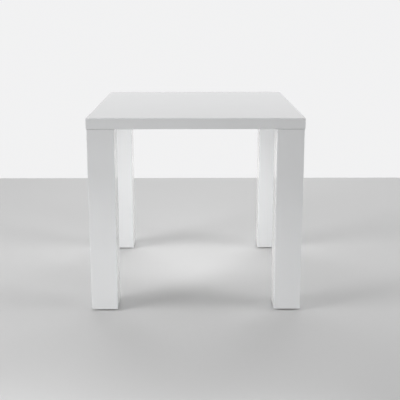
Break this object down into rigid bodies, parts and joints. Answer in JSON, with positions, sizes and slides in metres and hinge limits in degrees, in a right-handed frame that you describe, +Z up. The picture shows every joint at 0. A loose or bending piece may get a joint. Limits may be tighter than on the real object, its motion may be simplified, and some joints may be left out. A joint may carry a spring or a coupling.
{
  "type": "parsons dining table",
  "caption": "Square gloss white dining table: a thick plain top carried at its corners by square box legs flush with the edge, each on an adjustable levelling foot.",
  "frame": {"origin": "on the floor under the middle of the table", "axes": "+Z up, -Y towards the front of the picture, +X to the right"},
  "size_m": [0.8, 0.8, 0.745],
  "materials": {
    "white_lacquer": "white high-gloss lacquer on fibreboard",
    "white_underside": "matt white primer coat on fibreboard",
    "raw_board": "sawn fibreboard",
    "honeycomb_paper": "unbleached paper honeycomb",
    "plated_steel": "bright zinc plate",
    "foot_nylon": "moulded dark grey nylon"
  },
  "bodies": {
    "table": {"bolt_inserts": "plated_steel", "bolt_washers": "plated_steel", "foot_inserts": "plated_steel", "front_edge_band": "white_lacquer", "front_left_corner_block": "raw_board", "front_left_leg_foot_block": "raw_board", "front_left_leg_front_board": "white_lacquer", "front_left_leg_left_board": "white_lacquer", "front_left_leg_plate": "plated_steel", "front_left_leg_rear_board": "white_lacquer", "front_left_leg_right_board": "white_lacquer", "front_left_leg_top_block": "raw_board", "front_rail": "raw_board", "front_right_corner_block": "raw_board", "front_right_leg_foot_block": "raw_board", "front_right_leg_front_board": "white_lacquer", "front_right_leg_left_board": "white_lacquer", "front_right_leg_plate": "plated_steel", "front_right_leg_rear_board": "white_lacquer", "front_right_leg_right_board": "white_lacquer", "front_right_leg_top_block": "raw_board", "honeycomb_core": "honeycomb_paper", "left_edge_band": "white_lacquer", "left_rail": "raw_board", "leg_bolts": "plated_steel", "lower_skin": "white_underside", "plate_screws": "plated_steel", "rear_edge_band": "white_lacquer", "rear_left_corner_block": "raw_board", "rear_left_leg_foot_block": "raw_board", "rear_left_leg_front_board": "white_lacquer", "rear_left_leg_left_board": "white_lacquer", "rear_left_leg_plate": "plated_steel", "rear_left_leg_rear_board": "white_lacquer", "rear_left_leg_right_board": "white_lacquer", "rear_left_leg_top_block": "raw_board", "rear_rail": "raw_board", "rear_right_corner_block": "raw_board", "rear_right_leg_foot_block": "raw_board", "rear_right_leg_front_board": "white_lacquer", "rear_right_leg_left_board": "white_lacquer", "rear_right_leg_plate": "plated_steel", "rear_right_leg_rear_board": "white_lacquer", "rear_right_leg_right_board": "white_lacquer", "rear_right_leg_top_block": "raw_board", "right_edge_band": "white_lacquer", "right_rail": "raw_board", "upper_skin": "white_lacquer"},
    "front_left_foot_base": {"front_left_foot_base": "foot_nylon"},
    "front_left_foot_stud": {"front_left_foot_stud": "plated_steel"},
    "front_right_foot_base": {"front_right_foot_base": "foot_nylon"},
    "front_right_foot_stud": {"front_right_foot_stud": "plated_steel"},
    "rear_right_foot_base": {"rear_right_foot_base": "foot_nylon"},
    "rear_right_foot_stud": {"rear_right_foot_stud": "plated_steel"},
    "rear_left_foot_base": {"rear_left_foot_base": "foot_nylon"},
    "rear_left_foot_stud": {"rear_left_foot_stud": "plated_steel"}
  },
  "joints": [
    {"name": "front_left_foot_lift", "type": "slide", "parent": "table", "child": "front_left_foot_base", "axis": [0, 0, -1], "range_m": [0, 0.01]},
    {"name": "front_left_foot_turn", "type": "hinge", "parent": "front_left_foot_base", "child": "front_left_foot_stud", "pos_m": [-0.348, -0.348, 0], "axis": [0, 0, -1], "range_deg": [0, 2880]},
    {"name": "front_right_foot_lift", "type": "slide", "parent": "table", "child": "front_right_foot_base", "axis": [0, 0, -1], "range_m": [0, 0.01]},
    {"name": "front_right_foot_turn", "type": "hinge", "parent": "front_right_foot_base", "child": "front_right_foot_stud", "pos_m": [0.348, -0.348, 0], "axis": [0, 0, -1], "range_deg": [0, 2880]},
    {"name": "rear_right_foot_lift", "type": "slide", "parent": "table", "child": "rear_right_foot_base", "axis": [0, 0, -1], "range_m": [0, 0.01]},
    {"name": "rear_right_foot_turn", "type": "hinge", "parent": "rear_right_foot_base", "child": "rear_right_foot_stud", "pos_m": [0.348, 0.348, 0], "axis": [0, 0, -1], "range_deg": [0, 2880]},
    {"name": "rear_left_foot_lift", "type": "slide", "parent": "table", "child": "rear_left_foot_base", "axis": [0, 0, -1], "range_m": [0, 0.01]},
    {"name": "rear_left_foot_turn", "type": "hinge", "parent": "rear_left_foot_base", "child": "rear_left_foot_stud", "pos_m": [-0.348, 0.348, 0], "axis": [0, 0, -1], "range_deg": [0, 2880]}
  ],
  "couplings": [
    {"joint": "front_left_foot_lift", "follows": "front_left_foot_turn", "m_per_rad": 0.00019894},
    {"joint": "front_right_foot_lift", "follows": "front_right_foot_turn", "m_per_rad": 0.00019894},
    {"joint": "rear_right_foot_lift", "follows": "rear_right_foot_turn", "m_per_rad": 0.00019894},
    {"joint": "rear_left_foot_lift", "follows": "rear_left_foot_turn", "m_per_rad": 0.00019894}
  ]
}
